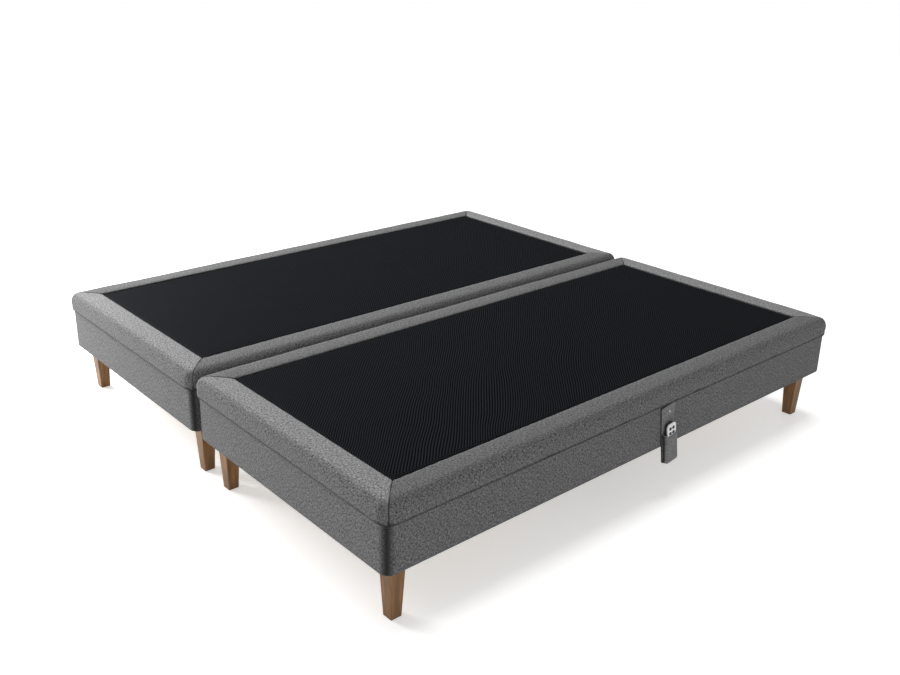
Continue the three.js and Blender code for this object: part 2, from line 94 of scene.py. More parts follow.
# Handset pouch, before it is tilted.
POUCH_Y = 80 * MM
POUCH_TOP = 309 * MM
POUCH_BOTTOM = 115 * MM
POUCH_CORNER = 9 * MM
POUCH_TILT = math.radians(8)
STRAP_TOP = 315 * MM
STRAP_HALF = 33 * MM
FLAP_BOTTOM = 283 * MM
POCKET_MOUTH = 220 * MM
POCKET_DIP = 8.5 * MM
POCKET_HALF = 31.5 * MM
POCKET_FRONT = 20.5 * MM

# How far the pouch's cloths stand off the box's side, how thick they are, and its small parts.
STRAP_OUT = 2.1 * MM
FLAP_OUT = 4.3 * MM
POCKET_OUT = 4.4 * MM
STRAP_THICKNESS = 2.5 * MM
POCKET_THICKNESS = 2.0 * MM
FLAP_THICKNESS = 1.6 * MM
POCKET_AROUND = 85 * MM
STUD_RADIUS = 3.6 * MM
STUD_HEIGHT = 1.4 * MM
HEM_RADIUS = 1.3 * MM
STITCH_PITCH = 4 * MM
STITCH_LENGTH = 2.8 * MM
THREAD_RADIUS = 0.5 * MM

# Camera: its place and axes, the lens in millimetres, and the shift that the framing needs.
CAMERA_AT = (2.5766, -2.2586, 1.6378)
CAMERA_RIGHT = (0.6455, 0.76366, 0.01229)
CAMERA_DOWN = (0.27254, -0.21528, -0.93775)
CAMERA_FORWARD = (-0.71348, 0.60866, -0.3471)
LENS = 39.754
LENS_SHIFT = (0.0222, -0.0333)

# Studio light: world strength, the floor's own glow and half size, the sun's irradiance, width and place.
AMBIENT = 0.34
FLOOR_GLOW = 0.46
FLOOR_HALF = 40
OVERHEAD = 1.2
OVERHEAD_WIDTH = math.radians(17)
OVERHEAD_AT = (-0.42, 0.36, 4.5)
# Name, place, target, size and power of each light panel.
PANELS = (
    ("left_panel", (-3.15, -1.56, 1.6), (-0.2, -0.5, 0.2), (2.4, 1.7), 232),
    ("right_panel", (4.6, -0.2, 0.9), (0.9, -0.2, 0.2), (3.0, 1.2), 16),
)

# Cloth: how much lighter the painted sheen and the pouch's tone make it, and the grey of full painted
# shade.
SHEEN_AND_TONE_LIGHTENING = 1.75
PAINTED_SHADE_LEVEL = 0.012

# Spacing of the cover's rows: near a side's ends, in the folds and elsewhere.
NEAR_END = (1.5, 3, 5, 7.5, 10.5, 14, 18, 22, 26, 30, 34, 38, 42, 46, 50, 54, 58, 62, 67, 72, 78, 85,
            93, 102, 113, 126, 142, 160, 180)
CORNER_SPREAD = 260 * MM
FINE = 8 * MM
COARSE = 24 * MM

# The mitre seam runs a little round the corner onto the long side. Columns crowd towards its angle.
SEAM_WRAP = 7 * MM
SEAM_ANGLES = (0, 7, 14, 20, 25, 29, 32, 34, 35.6, 37, 38.4, 40, 42, 45, 49, 54, 60, 67, 75, 83, 90)
BOX_ANGLES = [90 * i / 14 for i in range(15)]


# ---------------------------------------------------------------- small helpers

def smoothstep(low, high, value):
    """0 below low, 1 above high, and a smooth rise between them."""
    t = min(1.0, max(0.0, (value - low) / (high - low)))
    return t * t * (3 - 2 * t)


def bump_at(value, centre, width):
    """A smooth bell of height 1."""
    return math.exp(-((value - centre) / width) ** 2)


def mesh_object(name, vertices, faces, material, uvs=None):
    """A new smooth-shaded object. uvs holds one pair for each corner of each face."""
    mesh = bpy.data.meshes.new(name)
    mesh.from_pydata(vertices, [], faces)
    if uvs is not None:
        layer = mesh.uv_layers.new(name="weave")
        for loop, pair in zip(layer.data, uvs):
            loop.uv = pair
    mesh.materials.append(material)
    made = bpy.data.objects.new(name, mesh)
    bpy.context.scene.collection.objects.link(made)
    return made


def finish_mesh(made, sharp_angle=50):
    """Joins doubled points, turns the faces outwards and shades smooth up to sharp_angle."""
    bm = bmesh.new()
    bm.from_mesh(made.data)
    bmesh.ops.remove_doubles(bm, verts=bm.verts, dist=2e-6)
    bmesh.ops.dissolve_degenerate(bm, edges=bm.edges, dist=1e-7)
    bmesh.ops.recalc_face_normals(bm, faces=bm.faces)
    for face in bm.faces:
        face.smooth = True
    limit = math.radians(sharp_angle)
    for edge in bm.edges:
        edge.smooth = len(edge.link_faces) == 2 and edge.calc_face_angle(0) < limit
    bm.to_mesh(made.data)
    bm.free()
    return made


def displace(made, move):
    """Moves every point along its normal by move(point, normal)."""
    mesh = made.data
    normals = [v.normal.copy() for v in mesh.vertices]
    for vertex, normal in zip(mesh.vertices, normals):
        vertex.co += normal * move(vertex.co, normal)
    mesh.update()


# ---------------------------------------------------------------- node materials

class Surface:
    """A node material round one Principled shader."""

    def __init__(self, name, roughness, **sockets):
        self.material = bpy.data.materials.new(name)
        self.material.use_nodes = True
        self.nodes = self.material.node_tree.nodes
        self.links = self.material.node_tree.links
        self.shader = self.nodes["Principled BSDF"]
        self.shader.inputs["Roughness"].default_value = roughness
        for key, value in sockets.items():
            self.shader.inputs[key.replace("_", " ")].default_value = value

    def node(self, kind, inputs, **settings):
        made = self.nodes.new(kind)
        for key, value in settings.items():
            setattr(made, key, value)
        for key, value in inputs.items():
            if isinstance(value, bpy.types.NodeSocket):
                self.links.new(value, made.inputs[key])
            else:
                made.inputs[key].default_value = value
        return made

    def coordinates(self, scale, uv=False, turn=0.0):
        """Object or woven-surface coordinates in metres, turned and then multiplied by scale."""
        if uv:
            source = self.node("ShaderNodeUVMap", {}, uv_map="weave").outputs["UV"]
        else:
            source = self.node("ShaderNodeTexCoord", {}).outputs["Object"]
        if turn:
            turned = self.node("ShaderNodeMapping", {"Vector": source, "Rotation": (0, 0, turn)})
            source = turned.outputs["Vector"]
        return self.node("ShaderNodeMapping", {"Vector": source, "Scale": scale}).outputs["Vector"]

    def noise(self, vector, detail=2.0, roughness=0.5):
        inputs = {"Vector": vector, "Scale": 1.0, "Detail": detail, "Roughness": roughness}
        return self.node("ShaderNodeTexNoise", inputs).outputs["Fac"]

    def ramp(self, factor, stops):
        made = self.node("ShaderNodeValToRGB", {"Fac": factor})
        elements = made.color_ramp.elements
        while len(elements) < len(stops):
            elements.new(0.5)
        for element, (place, colour) in zip(elements, stops):
            element.position = place
            element.color = (*colour, 1)
        return made.outputs["Color"]

    def mix(self, factor, first, second, blend="MIX"):
        made = self.node("ShaderNodeMix", {}, data_type="RGBA", blend_type=blend)
        for key, value in ((0, factor), (6, first), (7, second)):
            if isinstance(value, bpy.types.NodeSocket):
                self.links.new(value, made.inputs[key])
            else:
                made.inputs[key].default_value = value if key == 0 else (*value, 1)
        return made.outputs[2]

    def math(self, operation, first, second):
        made = self.node("ShaderNodeMath", {}, operation=operation)
        for key, value in enumerate((first, second)):
            if isinstance(value, bpy.types.NodeSocket):
                self.links.new(value, made.inputs[key])
            else:
                made.inputs[key].default_value = value
        return made.outputs[0]

    def colour(self, socket):
        self.links.new(socket, self.shader.inputs["Base Color"])

    def roughness(self, factor, low, high):
        inputs = {"Value": factor, "To Min": low, "To Max": high}
        made = self.node("ShaderNodeMapRange", inputs)
        self.links.new(made.outputs["Result"], self.shader.inputs["Roughness"])

    def bump(self, height, strength, distance):
        inputs = {"Height": height, "Strength": strength, "Distance": distance}
        made = self.node("ShaderNodeBump", inputs)
        self.links.new(made.outputs["Normal"], self.shader.inputs["Normal"])


def grey(level, warmth=0.0):
    """A linear grey, slightly warm or cool."""
    return (level * (1 + warmth), level, level * (1 - warmth))


def cover_fabric(name, dark, light):
    """Heathered grey upholstery cloth: slubbed yarns both ways, in a fine plain weave."""
    s = Surface(name, 0.92, Sheen_Weight=0.10, Sheen_Roughness=0.5, Specular_IOR_Level=0.12)
    weft = s.noise(s.coordinates((130, 340, 1), uv=True), detail=3, roughness=0.6)
    warp = s.noise(s.coordinates((340, 130, 1), uv=True), detail=3, roughness=0.6)
    blotch = s.noise(s.coordinates((24, 24, 1), uv=True), detail=4)
    yarns = s.math("ADD", s.math("MULTIPLY", weft, 0.5), s.math("MULTIPLY", warp, 0.5))
    stops = [(0.41, grey(dark, 0.01)), (0.5, grey((dark + light) * 0.46)), (0.59, grey(light, -0.01))]
    heather = s.ramp(yarns, stops)
    tone = s.ramp(blotch, [(0.3, grey(0.88)), (0.7, grey(1.0))])
    worn = s.mix(1.0, heather, tone, "MULTIPLY")
    # Painted sheen and tone: this attribute lightens the border's end strips where they lie on top, and
    # each pouch piece by its given amount.
    painted_sheen_and_tone = s.node("ShaderNodeAttribute", {}, attribute_name="painted_sheen_and_tone").outputs["Fac"]
    with_sheen_and_tone = s.mix(painted_sheen_and_tone, worn, s.mix(1.0, worn, grey(SHEEN_AND_TONE_LIGHTENING), "MULTIPLY"))
    # Painted shade: this attribute darkens the cloth at seams, folds, gaps, corners and edges.
    shade = s.node("ShaderNodeAttribute", {}, attribute_name="painted_shade").outputs["Fac"]
    s.colour(s.mix(shade, with_sheen_and_tone, grey(PAINTED_SHADE_LEVEL)))
    flat = s.coordinates((1, 1, 1), uv=True)
    weave = {"Vector": flat, "Scale": 120.0, "Distortion": 1.0, "Detail": 1.0}
    bands = [s.node("ShaderNodeTexWave", weave, bands_direction=way).outputs["Fac"] for way in "XY"]
    s.bump(s.math("ADD", s.math("MULTIPLY", *bands), yarns), 0.6, 0.0009)
    return s.material


def mesh_fabric():
    """Black knitted spacer mesh: slightly wavy diagonal rows of small holes."""
    s = Surface("mesh_fabric_look", 0.6, IOR=1.05)
    base = s.coordinates((1, 1, 1), uv=True, turn=math.radians(-45))
    drift = s.node("ShaderNodeTexNoise", {"Vector": base, "Scale": 3.0, "Detail": 1.0}).outputs["Color"]
    moved = s.node("ShaderNodeVectorMath", {0: drift, 1: (0.05, 0.05, 0.0)}, operation="MULTIPLY")
    drawn = s.node("ShaderNodeVectorMath", {0: base, 1: moved.outputs[0]}, operation="ADD")
    rows = s.node("ShaderNodeTexWave", {"Vector": drawn.outputs[0], "Scale": 44.0}, bands_direction="X")
    gaps = s.node("ShaderNodeTexWave", {"Vector": drawn.outputs[0], "Scale": 46.0}, bands_direction="Y")
    knit = s.math("MULTIPLY", rows.outputs["Fac"], s.math("ADD", gaps.outputs["Fac"], 0.6))
    s.colour(s.ramp(knit, [(0.10, (0.0008, 0.0011, 0.0016)), (0.95, (0.0190, 0.0205, 0.0235))]))
    s.bump(knit, 0.5, 0.0009)
    return s.material


def wood(name, dark, light, roughness):
    """Straight-grained wood: fine pores and soft growth bands along Z."""
    s = Surface(name, roughness, Specular_IOR_Level=0.35)
    bands = s.noise(s.coordinates((70, 70, 9)), detail=3, roughness=0.55)
    pores = s.noise(s.coordinates((900, 900, 24)), detail=2)
    mixed = s.math("ADD", s.math("MULTIPLY", bands, 0.75), s.math("MULTIPLY", pores, 0.25))
    middle = tuple((a + b) / 2 for a, b in zip(dark, light))
    s.colour(s.ramp(mixed, [(0.34, dark), (0.5, middle), (0.66, light)]))
    s.roughness(pores, roughness - 0.08, roughness + 0.12)
    s.bump(mixed, 0.25, 0.0005)
    return s.material


def plywood():
    """Birch ply: pale face grain along Y with flecks."""
    s = Surface("plywood_look", 0.6, Specular_IOR_Level=0.3)
    figure = s.noise(s.coordinates((26, 5, 420)), detail=4, roughness=0.6)
    flecks = s.noise(s.coordinates((500, 60, 500)), detail=2)
    mixed = s.math("ADD", s.math("MULTIPLY", figure, 0.7), s.math("MULTIPLY", flecks, 0.3))
    s.colour(s.ramp(mixed, [(0.35, (0.30, 0.24, 0.17)), (0.65, (0.48, 0.40, 0.30))]))
    s.bump(mixed, 0.2, 0.0004)
    return s.material


def metal(name, dark, light, low, high, metallic=1.0):
    """Steel with a slight mottle; powder coat if metallic is 0."""
    s = Surface(name, low, Metallic=metallic, Specular_IOR_Level=0.5)
    mottle = s.noise(s.coordinates((60, 60, 60)), detail=4, roughness=0.6)
    fine = s.noise(s.coordinates((420, 420, 420)), detail=2)
    s.colour(s.ramp(mottle, [(0.35, dark), (0.65, light)]))
    s.roughness(mottle, low, high)
    s.bump(fine, 0.2, 0.0002)
    return s.material


def plastic(name, dark, light, low, high):
    """Plastic, rubber or thread with a fine matt grain."""
    s = Surface(name, low, Specular_IOR_Level=0.45)
    fine = s.noise(s.coordinates((1500, 1500, 1500)), detail=2)
    broad = s.noise(s.coordinates((45, 45, 45)), detail=2)
    s.colour(s.ramp(broad, [(0.3, dark), (0.7, light)]))
    s.roughness(fine, low, high)
    s.bump(fine, 0.15, 0.00015)
    return s.material


def make_finishes():
    """One look for each of the record's material slots, and two more for the pouch."""
    return {
        "cover_fabric": cover_fabric("cover_fabric_look", 0.044, 0.218),
        "mesh_fabric": mesh_fabric(),
        "leg_wood": wood("leg_wood_look", (0.095, 0.041, 0.011), (0.240, 0.116, 0.033), 0.5),
        "frame_wood": wood("frame_wood_look", (0.36, 0.335, 0.30), (0.50, 0.475, 0.44), 0.65),
        "plywood": plywood(),
        "black_steel": metal("black_steel_look", grey(0.016), grey(0.024), 0.42, 0.55, metallic=0.0),
        "bright_steel": metal("bright_steel_look", grey(0.50), grey(0.62), 0.28, 0.42),
        "black_plastic": plastic("black_plastic_look", grey(0.014), grey(0.020), 0.42, 0.55),
        "light_plastic": plastic("light_plastic_look", grey(0.70), grey(0.78), 0.30, 0.42),
        "pouch_fabric": cover_fabric("pouch_fabric_look", 0.085, 0.175),
        "thread": plastic("thread_look", grey(0.36), grey(0.46), 0.75, 0.9),
        "button_rubber": plastic("button_rubber_look", grey(0.010), grey(0.014), 0.55, 0.68),
    }


# ---------------------------------------------------------------- covers on rounded-rectangle rings

class Ring:
    """A rounded rectangle round (cx, 0): offset inwards it keeps its rows across the unit."""

    def __init__(self, cx, half_width, half_length, corner, ratio, rows, columns, angles):
        self.cx, self.half_width, self.half_length = cx, half_width, half_length
        self.corner, self.ratio = corner, ratio
        self.rows, self.columns, self.angles = rows, columns, angles
        self.row_hold = half_length - CORNER_SPREAD
        self.column_hold = half_width - CORNER_SPREAD

    def sizes(self, inset):
        radius = max(0.0, self.corner - inset)
        return self.half_width - inset, self.half_length - inset * self.ratio, radius

    def slide(self, value, hold, end, rest_end):
        """Keeps value within hold, and beyond it stretches the rest to end."""
        size = abs(value)
        if size <= hold:
            return value
        return math.copysign(hold + (size - hold) * (end - hold) / (rest_end - hold), value)

    def row(self, value, inset):
        _, length, radius = self.sizes(inset)
        return self.slide(value, self.row_hold, length - radius, self.half_length - self.corner)

    def column(self, value, inset):
        width, _, radius = self.sizes(inset)
        return self.slide(value, self.column_hold, width - radius, self.half_width - self.corner)

    def points(self, inset):
        """The ring's points with the distance along their side, anticlockwise from the right side."""
        width, length, radius = self.sizes(inset)
        made = []

        def corner(x, y, first):
            mirrored = [90 - turn for turn in reversed(self.angles)]
            turns = mirrored if round(first / math.pi * 2) % 2 else self.angles
            for angle in map(math.radians, turns):
                a = first + angle
                at = (self.cx + x + radius * math.cos(a), y + radius * math.sin(a))
                made.append((at, self.corner * angle))

        made += [((self.cx + width, self.row(y, inset)), self.row(y, inset)) for y in self.rows]
        corner(width - radius, length - radius, 0.0)
        made += [((self.cx - self.column(x, inset), length), self.column(x, inset)) for x in self.columns]
        corner(-width + radius, length - radius, math.pi / 2)
        made += [((self.cx - width, -self.row(y, inset)), self.row(y, inset)) for y in self.rows]
        corner(-width + radius, -length + radius, math.pi)
        made += [((self.cx + self.column(x, inset), -length), self.column(x, inset)) for x in self.columns]
        corner(width - radius, -length + radius, 3 * math.pi / 2)
        return made


def stations(half, corner, fine_zones=(), marks=()):
    """Positions along one straight side, close together near its ends and in the fine zones."""
    end = half - corner
    values = {round(sign * (end - near * MM), 5) for near in NEAR_END for sign in (-1, 1)}
    inner = end - NEAR_END[-1] * MM
    fixed = sorted({-inner, inner, *marks, *(v for zone in fine_zones for v in zone)})
    for low, high in zip(fixed, fixed[1:]):
        fine = any(zone[0] <= low and high <= zone[1] for zone in fine_zones)
        count = max(1, math.ceil((high - low) / (FINE if fine else COARSE)))
        values |= {round(low + (high - low) * i / count, 5) for i in range(count + 1)}
    return sorted(values)


def profile_lengths(profile):
    """The distance along a profile at each of its points."""
    total, made = 0.0, [0.0]
    for (d0, z0), (d1, z1) in zip(profile, profile[1:]):
        total += math.hypot(d1 - d0, z1 - z0)
        made.append(total)
    return made


def wrap(name, ring, profile, material, closed=False, filled=False):
    """A skin over rings at the profile's (inset, height) pairs.

    A closed profile comes back to its first ring. A filled one has its first and last rings
    covered by rows and columns, which needs insets beyond the corner radius.
    """
    rings = [ring.points(inset) for inset, _ in profile]
    heights = profile_lengths(profile)
    count = len(rings[0])
    vertices = [(*at, z) for points, (_, z) in zip(rings, profile) for at, _ in points]
    faces, uvs = [], []
    levels = len(profile)
    for k in range(levels if closed else levels - 1):
        upper = (k + 1) % levels
        rise = (heights[k], heights[k + 1] if upper else heights[k] + 0.003)
        for i in range(count):
            j = (i + 1) % count
            faces.append((k * count + i, k * count + j, upper * count + j, upper * count + i))
            u0, u1 = rings[k][i][1], rings[k][j][1]
            # The distance starts afresh on each side.
            if abs(u1 - u0) > 0.1:
                u1 = u0
            uvs += [(u0, rise[0]), (u1, rise[0]), (u1, rise[1]), (u0, rise[1])]
    if filled:
        for inset, z in (profile[0], profile[-1]):
            width, length, _ = ring.sizes(inset)
            ys = [-length, *(ring.row(y, inset) for y in ring.rows), length]
            xs = [-width, *(ring.column(x, inset) for x in ring.columns), width]
            start = len(vertices)
            vertices += [(ring.cx + x, y, z) for y in ys for x in xs]
            for i in range(len(ys) - 1):
                for j in range(len(xs) - 1):
                    a = start + i * len(xs) + j
                    faces.append((a, a + 1, a + 1 + len(xs), a + len(xs)))
                    uvs += [(xs[j], ys[i]), (xs[j + 1], ys[i]), (xs[j + 1], ys[i + 1]), (xs[j], ys[i + 1])]
    return finish_mesh(mesh_object(name, vertices, faces, material, uvs))


def cut_section(whole, name, low, high):
    """The part of a cover from y = low to high, with its cut ends closed. None leaves an end as it is."""
    bm = bmesh.new()
    bm.from_mesh(whole.data)
    for y, direction in ((low, -1), (high, 1)):
        if y is None:
            continue
        geometry = [*bm.verts, *bm.edges, *bm.faces]
        found = bmesh.ops.bisect_plane(bm, geom=geometry, dist=1e-6, plane_co=(0, y, 0),
                                       plane_no=(0, direction, 0), clear_outer=True)
        rim = [e for e in found["geom_cut"] if isinstance(e, bmesh.types.BMEdge)]
        bmesh.ops.edgeloop_fill(bm, edges=rim)
        for edge in rim:
            edge.smooth = False
    bmesh.ops.recalc_face_normals(bm, faces=bm.faces)
    mesh = bpy.data.meshes.new(name)
    bm.to_mesh(mesh)
    bm.free()
    mesh.materials.append(whole.data.materials[0])
    made = bpy.data.objects.new(name, mesh)
    bpy.context.scene.collection.objects.link(made)
    return made


def unit_frame(side):
    """Centre and half sizes of a unit's platform and box, from the frame."""
    low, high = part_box(f"{side}_back_pad")
    box_low, box_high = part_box(f"{side}_box_cover")
    return {
        "cx": (low.x + high.x) / 2,
        "half_width": (high.x - low.x) / 2,
        "half_length": high.y,
        "top": high.z,
        "bottom": low.z,
        "box_half_width": (box_high.x - box_low.x) / 2,
        "box_half_length": box_high.y,
        "box_top": box_high.z,
        "box_bottom": box_low.z,
    }


def platform_ring(u):
    zones = [tuple(sorted(z)) for z in (BACK_BEND, THIGH_BEND, KNEE_BEND)]
    rows = stations(u["half_length"], PLATFORM_CORNER, zones, (SEAT_CUT, THIGH_CUT))
    columns = stations(u["half_width"], PLATFORM_CORNER)
    return Ring(u["cx"], u["half_width"], u["half_length"], PLATFORM_CORNER, END_INSET_RATIO,
                rows, columns, SEAM_ANGLES)


def border_profile(u):
    """(inset, height) round the padded border, anticlockwise from the hollow's ceiling."""
    bottom, top = u["bottom"], u["top"]
    made = [(0.0700, CEILING), (0.0400, CEILING), (HOLLOW_INSET + 0.004, CEILING),
            (HOLLOW_INSET, CEILING - 0.002), (HOLLOW_INSET, bottom + 0.003), (0.0100, bottom + 0.0006),
            (0.0060, bottom), (0.0022, bottom + 0.0006), (0.0005, bottom + 0.0024)]
    low = bottom + 0.006
    made += [(0.0, low + (SHOULDER_START - low) * i / 6) for i in range(7)]
    rise = top + 0.0006 - SHOULDER_START
    for i in range(1, SHOULDER_STEPS + 1):
        turn = math.radians(90) * i / SHOULDER_STEPS
        inset = SHOULDER_WIDTH * (1 - math.cos(turn) ** 0.8)
        made.append((inset, SHOULDER_START + rise * math.sin(turn) ** 0.8))
    inner = BORDER_WIDTH - PANEL_GAP
    made += [(0.058, top + 0.0010), (0.066, top + 0.0010), (0.074, top + 0.0007), (0.081, top + 0.0002),
             (0.0865, top - 0.0005), (0.0900, top - 0.0014), (0.0920, top - 0.0026), (inner, top - 0.0048),
             (inner, top - 0.0120), (inner, CEILING + 0.012), (inner, CEILING)]
    return made


def panel_profile():
    """(inset, height) round the mesh panel's pad, from its underside's edge to its top's edge."""
    side = BORDER_WIDTH + PANEL_GAP
    return [(side + 0.020, CEILING), (side, CEILING), (side, CEILING + 0.020), (side, PANEL_TOP - 0.0052),
            (side + 0.0008, PANEL_TOP - 0.0032), (side + 0.0028, PANEL_TOP - 0.0016),
            (side + 0.0070, PANEL_TOP - 0.0006), (side + 0.0150, PANEL_TOP)]


def seam_offset(across, along):
    """Distance from the mitre seam, which ends a little round the corner on the long side."""
    return along - across - SEAM_WRAP * (1 - smoothstep(0.0, BORDER_WIDTH, min(across, along)))


def corner_distances(u, point):
    """How far a point is in from the long side and the end, as border insets."""
    across = u["half_width"] - abs(point.x - u["cx"])
    along = (u["half_length"] - abs(point.y)) / END_INSET_RATIO
    return across, along


def border_moves(u, seed):
    """The border's sewn and stretched shape: mitre seams, puckers, pinched corners, uneven foam."""
    bottom = u["bottom"]

    def move(point, normal):
        across, along = corner_distances(u, point)
        inset = min(across, along)
        in_hollow = point.z < CEILING + 0.001 and normal.z < -0.5 or inset > 0.009 and point.z < 0.345
        if point.z < bottom + 0.003 or in_hollow or inset > BORDER_WIDTH - 0.001:
            return 0.0
        off_seam = abs(seam_offset(across, along))
        quarter = (1 if point.x > u["cx"] else 0) + (2 if point.y > 0 else 0)
        flip = 1 if across < along else -1
        on_top = smoothstep(0.02, 0.045, inset)
        made = -SEAM_DEPTH * bump_at(off_seam, 0, SEAM_HALF)
        made += LIP_HEIGHT * bump_at(off_seam, 0.0055, 0.0032) * (1.0 if flip > 0 else 0.45)
        low = 1 - smoothstep(bottom + 0.004, bottom + 0.034, point.z)
        made -= PINCH_DEPTH * bump_at(off_seam, 0, PINCH_HALF) * low
        # Folds fan out of the pinched lower end of the corner seam.
        away = max(across, along)
        up = point.z - bottom + inset
        radius = math.hypot(away, up)
        turn = math.atan2(up, away)
        drift = 9 * noise.noise(point * 9 + Vector((seed, 0, 0)))
        fan = math.sin(turn * 17 + 1.3 * quarter + 0.8 * flip + drift)
        reach = smoothstep(0.006, 0.026, radius) * (1 - smoothstep(0.045, 0.105, radius))
        made += FOLD_DEPTH * fan * reach * (1 - 0.6 * on_top)
        # The foam edge is slightly uneven, and the cloth is drawn in at the panel's seam.
        spot = Vector((point.x * 7, point.y * 7, point.z * 12 + seed))
        made += FOAM_SWELL * noise.noise(spot) * (1 - 0.7 * on_top)
        made += FOAM_RIPPLE * noise.noise(spot * 3.1) * (1 - 0.5 * on_top)
        run = point.y if across < along else point.x
        pucker = math.sin(run * math.tau / PUCKER_PITCH + 2 * noise.noise(spot * 2))
        made += PUCKER_DEPTH * smoothstep(0.070, 0.088, inset) * pucker
        # The pouch and its handset lie against the side, so the cloth is pressed in beside them.
        beside = 1 - smoothstep(0.045, 0.090, abs(point.y - POUCH_Y))
        if point.x > u["cx"] and inset < 0.012:
            made = made * (1 - beside) - PRESSED_IN * beside
        return made

    return move


def panel_moves(u, seed):
    """The mesh lies a little unevenly over the boards."""

    def move(point, normal):
        if normal.z < 0.5:
            return 0.0
        spot = Vector((point.x * 3.2, point.y * 3.2, seed))
        return 0.0011 * noise.noise(spot) + 0.0004 * noise.noise(spot * 3.7)

    return move


def store(made, name, value):
    """Stores value(point) for each point as an attribute that the materials read."""
    layer = made.data.attributes.new(name, "FLOAT", "POINT")
    layer.data.foreach_set("value", [value(v.co) for v in made.data.vertices])


def add_painted_shade(made, shade):
    """Stores how far each point is darkened by painted shade, from 0 to 1."""
    store(made, "painted_shade", shade)


def add_painted_sheen(made, u):
    """Stores 1 where the strip across the end lies on top: a painted sheen makes it lighter than the long
    sides' strips.
    """

    def painted_sheen_and_tone(point):
        across, along = corner_distances(u, point)
        on_end = 1.0 if seam_offset(across, along) < 0 else 0.0
        return on_end * smoothstep(0.006, 0.030, min(across, along))

    store(made, "painted_sheen_and_tone", painted_sheen_and_tone)


def border_shade(u):
    """Painted shade at the mitre seams, their pinched ends, the lower rim and the panel's seam."""

    def shade(point):
        across, along = corner_distances(u, point)
        off_seam = seam_offset(across, along)
        seam = bump_at(off_seam, 0, 0.0020) * 0.8
        joint = max(bump_at(point.y, y, 0.020) for y in SEAM_DASHES) if across < 0.004 else 0.0
        # Painted shade in the gap between the platform and the box along the lower rim, reaching higher at
        # the joints.
        low = 1 - smoothstep(u["bottom"] + 0.0040, u["bottom"] + 0.0085 + 0.006 * joint, point.z)
        pinch = bump_at(off_seam, 0, 0.009) * (1 - smoothstep(0.318, 0.340, point.z)) * 0.8
        inner = smoothstep(0.0905, 0.0925, min(across, along)) * 0.8
        return min(1.0, max(seam, pinch, low, inner))

    return shade


def box_shade(u):
    """Painted shade at the box's upright corners, and a little at the hem."""

    def shade(point):
        across = u["box_half_width"] - abs(point.x - u["cx"])
        along = u["box_half_length"] - abs(point.y)
        turned = bump_at(abs(across - along), 0, 0.019)
        hem = 1 - smoothstep(u["box_bottom"], u["box_bottom"] + 0.010, point.z)
        return 0.95 * turned + 0.25 * hem * (1 - turned)

    return shade


def make_platform(side, finishes, seed):
    """The platform's padded cover in three parts, cut across at the seat and the thigh."""
    u = unit_frame(side)
    ring = platform_ring(u)
    border = wrap(f"{side}_border", ring, border_profile(u), finishes["cover_fabric"], closed=True)
    panel = wrap(f"{side}_panel", ring, panel_profile(), finishes["mesh_fabric"], filled=True)
    displace(border, border_moves(u, seed))
    displace(panel, panel_moves(u, seed + 5))
    add_painted_shade(border, border_shade(u))
    add_painted_sheen(border, u)
    sections = (
        ("head", SEAT_CUT, None, f"{side}_back_section", "base", BACK_BEND, ["back", "seat"]),
        ("seat", THIGH_CUT, SEAT_CUT, "base", f"{side}_thigh_section", THIGH_BEND, ["thigh"]),
        ("foot", None, THIGH_CUT, f"{side}_thigh_section", f"{side}_calf_section", KNEE_BEND, ["calf"]),
    )
    for part, low, high, first, second, bend, pads in sections:
        for whole, kind, slot in ((border, "border", "cover_fabric"), (panel, "panel", "mesh_fabric")):
            piece = cut_section(whole, f"{side}_{part}_{kind}", low, high)
            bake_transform(piece)
            if kind == "panel":
                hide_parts(*(f"{side}_{pad}_pad" for pad in pads))
    for whole in (border, panel):
        bpy.data.objects.remove(whole)


def make_box_cover(side, finishes, seed):
    """The cloth round the box: rounded upright corners, a rolled top and a hem turned under."""
    u = unit_frame(side)
    top, bottom = u["box_top"], u["box_bottom"]
    rows = stations(u["box_half_length"], BOX_CORNER)
    columns = stations(u["box_half_width"], BOX_CORNER)
    ring = Ring(u["cx"], u["box_half_width"], u["box_half_length"], BOX_CORNER, 1.0,
                rows, columns, BOX_ANGLES)
    inner = COVER_THICKNESS
    low, high = bottom + 0.006, top - 0.006
    profile = [(HEM_WIDTH, bottom + 0.0002), (HEM_WIDTH, bottom - 0.0007), (0.0100, bottom - 0.0009),
               (0.0040, bottom - 0.0008), (0.0014, bottom + 0.0002), (0.0002, bottom + 0.0022)]
    profile += [(0.0, low + (high - low) * i / 8) for i in range(9)]
    profile += [(0.0000, top - 0.0030), (-0.0004, top - 0.0012), (0.0000, top + 0.0002),
                (0.0010, top + 0.0010), (0.0022, top + 0.0006), (inner, top - 0.0010), (inner, top - 0.03),
                (inner, bottom + 0.03), (inner, bottom + 0.0002)]
    cover = wrap(f"{side}_box_wrap", ring, profile, finishes["cover_fabric"], closed=True)

    def move(point, normal):
        inset = min(u["box_half_width"] - abs(point.x - u["cx"]), u["box_half_length"] - abs(point.y))
        if inset > 0.0022 or abs(normal.z) > 0.6:
            return 0.0
        spot = Vector((point.x * 3.5, point.y * 3.5, point.z * 9 + seed))
        body = smoothstep(bottom, bottom + 0.02, point.z) * (1 - smoothstep(top - 0.02, top, point.z))
        return (0.0009 * noise.noise(spot) + 0.0003 * noise.noise(spot * 4)) * body - 0.0004

    displace(cover, move)
    add_painted_shade(cover, box_shade(u))
    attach(cover, "base")
    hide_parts(f"{side}_box_cover")


# ---------------------------------------------------------------- handset pouch

